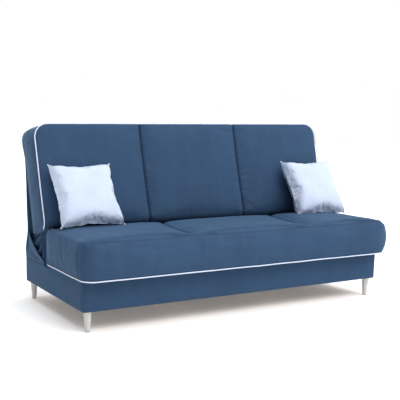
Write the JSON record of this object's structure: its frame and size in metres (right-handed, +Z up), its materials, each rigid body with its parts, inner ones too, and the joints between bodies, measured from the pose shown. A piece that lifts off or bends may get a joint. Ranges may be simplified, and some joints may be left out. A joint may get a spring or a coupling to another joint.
{
  "type": "sofa bed",
  "caption": "Armless upholstered click-clack sofa bed with bedding box, tapered legs, contrast piping and loose cushions; the seat lifts and the back folds flat.",
  "frame": {"origin": "on the floor, under the middle of the whole object's bounding box, piping included", "axes": "+X along the sofa towards its right-hand end as seen from in front, +Y from front to rear, +Z up"},
  "size_m": [1.908, 0.924, 1.0042],
  "materials": {
    "velvet_blue": "matte",
    "velvet_pale": "matte",
    "piping_pale": "satin",
    "foam": "matte",
    "felt": "matte",
    "dust_cloth": "matte",
    "pine": "matte",
    "chipboard": "matte",
    "hardboard": "satin",
    "zinc_steel": "satin",
    "black_steel": "satin",
    "spring_steel": "satin",
    "leg_silver": "satin",
    "glide_plastic": "matte"
  },
  "bodies": {
    "base": {"box_front_panel": "chipboard", "box_rear_panel": "chipboard", "box_side_panel_left": "chipboard", "box_side_panel_right": "chipboard", "box_floor": "hardboard", "floor_battens": "pine", "leg_blocks": "pine", "box_cover": "velvet_blue", "side_flap_left": "velvet_blue", "side_flap_right": "velvet_blue", "leg_front_left": "leg_silver", "leg_front_right": "leg_silver", "leg_rear_left": "leg_silver", "leg_rear_right": "leg_silver", "leg_studs": "zinc_steel", "leg_glides": "glide_plastic", "wall_plate_left": "black_steel", "wall_plate_right": "black_steel", "wall_plate_screws": "zinc_steel", "lower_link_pins": "zinc_steel"},
    "front_links": {"front_link_left": "black_steel", "front_link_right": "black_steel"},
    "rear_links": {"rear_link_left": "black_steel", "rear_link_right": "black_steel"},
    "carrier": {"carrier_left": "black_steel", "carrier_right": "black_steel", "upper_link_pins": "zinc_steel", "crease_pins": "zinc_steel", "gusset_left": "velvet_blue", "gusset_right": "velvet_blue"},
    "seat": {"seat_front_rail": "pine", "seat_rear_rail": "pine", "seat_side_rails": "pine", "seat_cross_rails": "pine", "seat_wave_springs": "spring_steel", "seat_spring_clips": "zinc_steel", "seat_felt": "felt", "seat_foam": "foam", "seat_cover": "velvet_blue", "seat_dust_cloth": "dust_cloth", "seat_piping": "piping_pale", "seat_hinge_plate_left": "black_steel", "seat_hinge_plate_right": "black_steel", "seat_plate_screws": "zinc_steel"},
    "back": {"back_top_rail": "pine", "back_bottom_rail": "pine", "back_side_rails": "pine", "back_wave_springs": "spring_steel", "back_felt": "felt", "back_foam": "foam", "back_cover": "velvet_blue", "back_piping": "piping_pale", "back_hinge_plate_left": "black_steel", "back_hinge_plate_right": "black_steel", "back_plate_screws": "zinc_steel", "rear_apron": "velvet_blue"},
    "ratchet_pawl_left": {"pawl_left": "zinc_steel"},
    "ratchet_pawl_right": {"pawl_right": "zinc_steel"},
    "cushion_left": {"pillow_left": "velvet_pale"},
    "cushion_right": {"pillow_right": "velvet_pale"}
  },
  "joints": [
    {"name": "link_swing", "type": "hinge", "parent": "base", "child": "front_links", "pos_m": [0, -0.066, 0.146], "axis": [1, 0, 0], "range_deg": [0, 67]},
    {"name": "rear_link_swing", "type": "hinge", "parent": "base", "child": "rear_links", "pos_m": [0, 0.134, 0.146], "axis": [1, 0, 0], "range_deg": [0, 67]},
    {"name": "carrier_level", "type": "hinge", "parent": "front_links", "child": "carrier", "pos_m": [0, 0.012, 0.224], "axis": [1, 0, 0], "range_deg": [-67, 0]},
    {"name": "seat_lift", "type": "hinge", "parent": "carrier", "child": "seat", "pos_m": [0, 0.082, 0.442], "axis": [-1, 0, 0], "range_deg": [0, 35]},
    {"name": "back_recline", "type": "hinge", "parent": "carrier", "child": "back", "pos_m": [0, 0.082, 0.442], "axis": [-1, 0, 0], "range_deg": [0, 74.5], "deforming": ["gusset_left", "gusset_right", "rear_apron", "side_flap_left", "side_flap_right"]},
    {"name": "pawl_left_lift", "type": "hinge", "parent": "carrier", "child": "ratchet_pawl_left", "pos_m": [-0.9035, 0.082, 0.38], "axis": [1, 0, 0], "range_deg": [0, 12], "stiffness_Nm_per_rad": 0.1, "springref_deg": -11.46},
    {"name": "pawl_right_lift", "type": "hinge", "parent": "carrier", "child": "ratchet_pawl_right", "pos_m": [0.9035, 0.082, 0.38], "axis": [1, 0, 0], "range_deg": [0, 12]},
    {"name": "cushion_left_slip", "type": "hinge", "parent": "back", "child": "cushion_left", "pos_m": [-0.735, 0.6877, 0.6101], "axis": [-1, 0, 0], "range_deg": [0, 7.3]},
    {"name": "cushion_right_slip", "type": "hinge", "parent": "back", "child": "cushion_right", "pos_m": [0.75, 0.6877, 0.6101], "axis": [-1, 0, 0], "range_deg": [0, 7.3]}
  ],
  "couplings": [
    {"joint": "rear_link_swing", "follows": "link_swing", "ratio": 1},
    {"joint": "carrier_level", "follows": "link_swing", "ratio": -1},
    {"joint": "pawl_right_lift", "follows": "pawl_left_lift", "ratio": 1},
    {"joint": "cushion_left_slip", "follows": "seat_lift", "ratio": 0.20857},
    {"joint": "cushion_right_slip", "follows": "seat_lift", "ratio": 0.20857}
  ]
}
